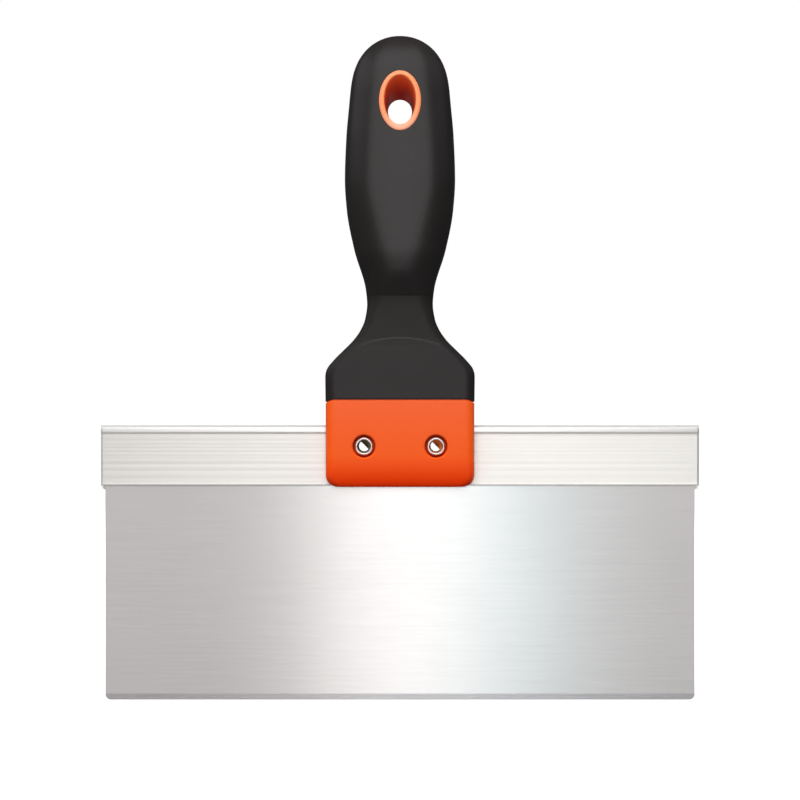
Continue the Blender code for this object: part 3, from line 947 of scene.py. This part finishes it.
def build_core():
    """Clip, tang and the lining of the hanging hole in one orange moulding."""
    top = HANDLE_TOP - TANG_INSET
    tang = spread(SEAM_FLOOR, CAP_START, 6.0) + cap_heights(top, 8)
    rings = clip_rings()
    for height in tang:
        ring = section(*handle_sizes(height, TANG_INSET), curve_value(CROWN, height))
        near_seam = 1 - smoothstep((height - SEAM_FLOOR) / 8.0)
        rings.append([(x, y, height - near_seam * side_drop(x)) for x, y in ring])
    rings.append([(0.0, 0.0, top)])
    core = loft("core_moulding", rings)
    combine(core, oval_bar("cutter", HOLE_FRONT, HOLE_BACK, 1.0), "DIFFERENCE")
    combine(core, eyelet("lining"), "UNION")
    slot_half = BEAD_HALF_DEPTH + 0.3
    slot_top = RAIL_TOP + 0.3
    slot = ((-slot_half, 0.0), (slot_half, 0.0), (slot_half, slot_top), (-slot_half, slot_top))
    combine(core, prism("cutter", slot, "X", 40.0), "DIFFERENCE")
    half = counterbore_outline()
    outline = half + [(radius, -depth) for radius, depth in reversed(half)]
    for side in (-1, 1):
        combine(core, turned_y("cutter", outline, side * RIVET_X, RIVET_Z, 64), "DIFFERENCE")
    smooth(core, 40.0)
    place(core, "orange_plastic", orange_plastic, painted_rim_highlight, hole_wall_shade, counterbore_shade)
    paint_core(core)
    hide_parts("handle_core")


def paint_core(core):
    """The hanging hole's rims take a painted highlight, and its wall and the counterbores take painted
    shade.
    """
    for face in core.data.polygons:
        x, y, z = face.center / MM
        if z < 205.0:
            # Painted shade in the counterbores.
            away = Vector((abs(x) - RIVET_X, z - RIVET_Z)).length
            if away < COUNTERBORE + 0.05 and 3.0 < abs(y) < CLIP_HALF_DEPTH - 0.4:
                face.material_index = 3
            continue
        # Painted highlight on the rims.
        if abs(y) > skin_depth(x, z) - 0.25:
            face.material_index = 1
            continue
        # Painted shade on the hole's wall.
        centre, wide, tall = oval_at(HOLE_FRONT, HOLE_BACK, y)
        if (x / wide) ** 2 + ((z - centre) / tall) ** 2 < 1.15:
            face.material_index = 2


def build_grip():
    """The soft shell over the tang, with a painted highlight along its arch."""
    grip = loft("grip_shell", grip_rings())
    combine(grip, oval_bar("cutter", BOSS_FRONT, BOSS_BACK, 0.06), "DIFFERENCE")
    smooth(grip, 38.0)
    place(grip, "black_soft_grip", soft_grip, painted_arch_highlight)
    for face in grip.data.polygons:
        x, y, z = face.center / MM
        # Faces along the arch take the painted highlight.
        if abs(z - ARCH_TOP + ARCH_BOW * x * x) < ARCH_STEP and abs(y) > 4.0 and abs(x) < 14.0:
            face.material_index = 1
    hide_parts("grip")
    return grip


def build_rivet(node, x, dent, bore_paint):
    """A tube with rolled ends. Its wall was pushed in on the upper right when it was set."""
    lip_middle = (RIVET_BORE + RIVET_FLANGE) / 2
    lip_half = (RIVET_FLANGE - RIVET_BORE) / 2
    bore_end = RIVET_HALF_LENGTH - RIVET_LIP_HEIGHT
    rolled = []
    for step in range(13):
        angle = pi * step / 12
        rolled.append((lip_middle + lip_half * cos(angle), bore_end + RIVET_LIP_HEIGHT * sin(angle)))
    outer = [(RIVET_SHANK, FLANGE_SEAT), (RIVET_FLANGE - 0.1, FLANGE_SEAT)] + rolled
    rings = []
    for step in range(RIVET_SIDES):
        angle = 2 * pi * step / RIVET_SIDES
        towards_dent = max(cos(angle - pi / 4), 0.05)
        narrowest = min(RIVET_BORE - 0.36, dent / towards_dent)
        outline = [(radius, -depth) for radius, depth in outer]
        for part in range(1, 20):
            share = part / 20
            radius = RIVET_BORE - (RIVET_BORE - narrowest) * sin(pi * share) ** 0.6
            outline.append((radius, bore_end * (2 * share - 1)))
        outline += [(radius, depth) for radius, depth in reversed(outer)]
        rings.append([
            (x + radius * cos(angle), depth, RIVET_Z + radius * sin(angle)) for radius, depth in outline
        ])
    rivet = loft(node + "_tube", rings, closed=True)
    smooth(rivet, 45.0)
    place(rivet, "rivet_steel", rivet_steel, bore_paint)
    # The bore's wall takes its painted shade and reflection.
    for face in rivet.data.polygons:
        away = Vector((face.center.x / MM - x, face.center.z / MM - RIVET_Z))
        if away.length < RIVET_BORE + 0.02 and abs(face.center.y) / MM < RIVET_HALF_LENGTH - 0.3:
            face.material_index = 1
    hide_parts(node)


build_blade()
build_rail()
build_core()
grip_piece = build_grip()
build_rivet("rivet_left", -RIVET_X, 0.35, left_bore_painted_shade)
build_rivet("rivet_right", RIVET_X, 0.15, right_bore_painted_reflection)


# Stage


def build_floor():
    """A wide pale disc just under the working edge."""
    work = bmesh.new()
    bmesh.ops.create_circle(work, cap_ends=True, segments=96, radius=30.0)
    floor = mesh_object("floor", work)
    floor.location.z = -0.0002
    material, tree, shader = new_material("pale_floor")
    shader.inputs["Roughness"].default_value = 0.8
    shader.inputs["Specular IOR Level"].default_value = 0.1
    coordinates = add_node(tree, "ShaderNodeTexCoord")
    cloud = noise(tree, coordinates.outputs["Object"], 6.0)
    tone = tint(tree, remap(tree, cloud, 0.0, 1.0), (0.93, 0.93, 0.925), (0.95, 0.95, 0.945))
    tree.links.new(tone, shader.inputs["Base Color"])
    floor.data.materials.append(material)
    floor.visible_diffuse = False
    floor.visible_glossy = False
    floor.visible_shadow = False


def area_light(name, place_at, aim, wide, tall, radiance, colour=(1.0, 1.0, 1.0)):
    """A soft panel of the given radiance, turned towards a point."""
    light = bpy.data.lights.new(name, "AREA")
    light.shape = "RECTANGLE"
    light.size = wide
    light.size_y = tall
    light.energy = radiance * pi * wide * tall
    light.color = colour
    lamp = bpy.data.objects.new(name, light)
    bpy.context.scene.collection.objects.link(lamp)
    lamp.location = place_at
    lamp.rotation_euler = (Vector(aim) - Vector(place_at)).to_track_quat("-Z", "Y").to_euler()
    lamp.visible_camera = False
    return lamp


def build_world():
    """White behind the object, and a dim even room for everything that it lights or mirrors."""
    world = bpy.data.worlds.new("studio")
    bpy.context.scene.world = world
    world.use_nodes = True
    tree = world.node_tree
    back = tree.nodes["Background"]
    back.inputs["Color"].default_value = (1.0, 1.0, 1.0, 1.0)
    rays = tree.nodes.new("ShaderNodeLightPath")
    level = add_node(tree, "ShaderNodeMapRange")
    level.inputs["To Min"].default_value = ROOM_SOFT
    level.inputs["To Max"].default_value = ROOM_GLOSS
    tree.links.new(rays.outputs["Is Glossy Ray"], level.inputs["Value"])
    seen = add_node(tree, "ShaderNodeMath", operation="MAXIMUM")
    tree.links.new(rays.outputs["Is Camera Ray"], seen.inputs[0])
    tree.links.new(level.outputs["Result"], seen.inputs[1])
    tree.links.new(seen.outputs[0], back.inputs["Strength"])


def softbox_tone(x):
    """The softbox's colour at a place across it."""
    width, steepness = SOFTBOX_LEFT_FALL if x < 0 else SOFTBOX_RIGHT_FALL
    bright = exp(-((abs(x) / width) ** steepness))
    cool = exp(-(((x - SOFTBOX_COOL_MIDDLE) / SOFTBOX_COOL_WIDTH) ** 2))
    level = SOFTBOX_EDGE + (SOFTBOX_PEAK - SOFTBOX_EDGE) * bright
    return [level * (warm + (cold - warm) * cool) for warm, cold in zip(SOFTBOX_WARM, SOFTBOX_COOL)]


def build_softbox():
    """A tall softbox in front whose middle glows brighter, with soft edges to that band."""
    work = bmesh.new()
    half, low, high = SOFTBOX_HALF_WIDTH, SOFTBOX_BOTTOM, SOFTBOX_TOP
    corners = ((-half, low), (half, low), (half, high), (-half, high))
    work.faces.new([work.verts.new((x, SOFTBOX_Y, z)) for x, z in corners])
    box = mesh_object("softbox", work)
    material = bpy.data.materials.new("softbox_glow")
    material.use_nodes = True
    tree = material.node_tree
    tree.nodes.clear()
    ramp = add_node(tree, "ShaderNodeValToRGB")
    across = place_on_piece(tree)["X"]
    tree.links.new(remap(tree, across, 0.0, 1.0, -half, half), ramp.inputs["Fac"])
    elements = ramp.color_ramp.elements
    elements.remove(elements[1])
    for step in range(SOFTBOX_BAND_STEPS + 1):
        x = SOFTBOX_BAND_HALF_WIDTH * (2 * step / SOFTBOX_BAND_STEPS - 1)
        position = (x + half) / (2 * half)
        element = elements[0] if step == 0 else elements.new(position)
        element.position = position
        element.color = (*softbox_tone(x), 1.0)
    glow = add_node(tree, "ShaderNodeEmission", Strength=SOFTBOX_RADIANCE)
    tree.links.new(ramp.outputs["Color"], glow.inputs["Color"])
    output = add_node(tree, "ShaderNodeOutputMaterial")
    tree.links.new(glow.outputs["Emission"], output.inputs["Surface"])
    box.data.materials.append(material)
    box.visible_camera = False
    box.visible_shadow = False


def build_low_panels(grip):
    """Soft panels and brighter stripes near the floor, for the metal to mirror. The grip is spared."""
    spared = bpy.data.collections.new("spared")
    spared.objects.link(grip)
    spared.collection_objects[0].light_linking.link_state = "EXCLUDE"
    for side in (-1, 1):
        for y, height in ((-1.2, -1.0), (1.3, -0.7)):
            panel = area_light("low_panel", (1.25 * side, y, height), MIDDLE, 1.2, 1.5, 0.42)
            stripe_at = (1.2 * side, 0.95 * y, 0.95 * height)
            stripe = area_light("low_stripe", stripe_at, MIDDLE, 0.3, 1.5, 0.8)
            for lamp in (panel, stripe):
                lamp.visible_diffuse = False
                lamp.light_linking.receiver_collection = spared


def build_lights():
    """An upper panel, two side walls, a soft key on each side and an even light from overhead."""
    area_light("upper_panel", (0.0, -0.95, 1.35), MIDDLE, 1.0, 0.9, 1.4)
    area_light("left_wall", (-1.45, -0.3, 1.05), MIDDLE, 2.3, 1.3, 0.62, (0.97, 0.99, 1.0))
    area_light("right_wall", (1.4, -0.4, 1.05), MIDDLE, 2.0, 1.3, 0.26, (0.95, 0.98, 1.0))
    for side, radiance in ((-1, 4.6), (1, 4.0)):
        soft = area_light("soft_key", (0.25 * side, 1.25 * side, 1.0), MIDDLE, 1.2, 0.8, radiance)
        soft.visible_glossy = False
    sky = bpy.data.lights.new("overhead", "SUN")
    sky.energy = 3.0
    sky.angle = radians(60)
    lamp = bpy.data.objects.new("overhead", sky)
    bpy.context.scene.collection.objects.link(lamp)
    lamp.visible_glossy = False


def build_camera():
    """Straight at the front, level with the middle of the object's height."""
    data = bpy.data.cameras.new("camera")
    data.sensor_width = SENSOR_WIDTH_MM
    data.lens = SENSOR_WIDTH_MM * CAMERA_DISTANCE / SHOWN_WIDTH
    camera = bpy.data.objects.new("camera", data)
    bpy.context.scene.collection.objects.link(camera)
    camera.location = (0.0, -CAMERA_DISTANCE, CAMERA_HEIGHT)
    camera.rotation_euler = (pi / 2, 0.0, 0.0)
    bpy.context.scene.camera = camera
    bpy.context.scene.view_settings.view_transform = "Standard"


build_floor()
build_world()
build_softbox()
build_lights()
build_low_panels(grip_piece)
build_camera()
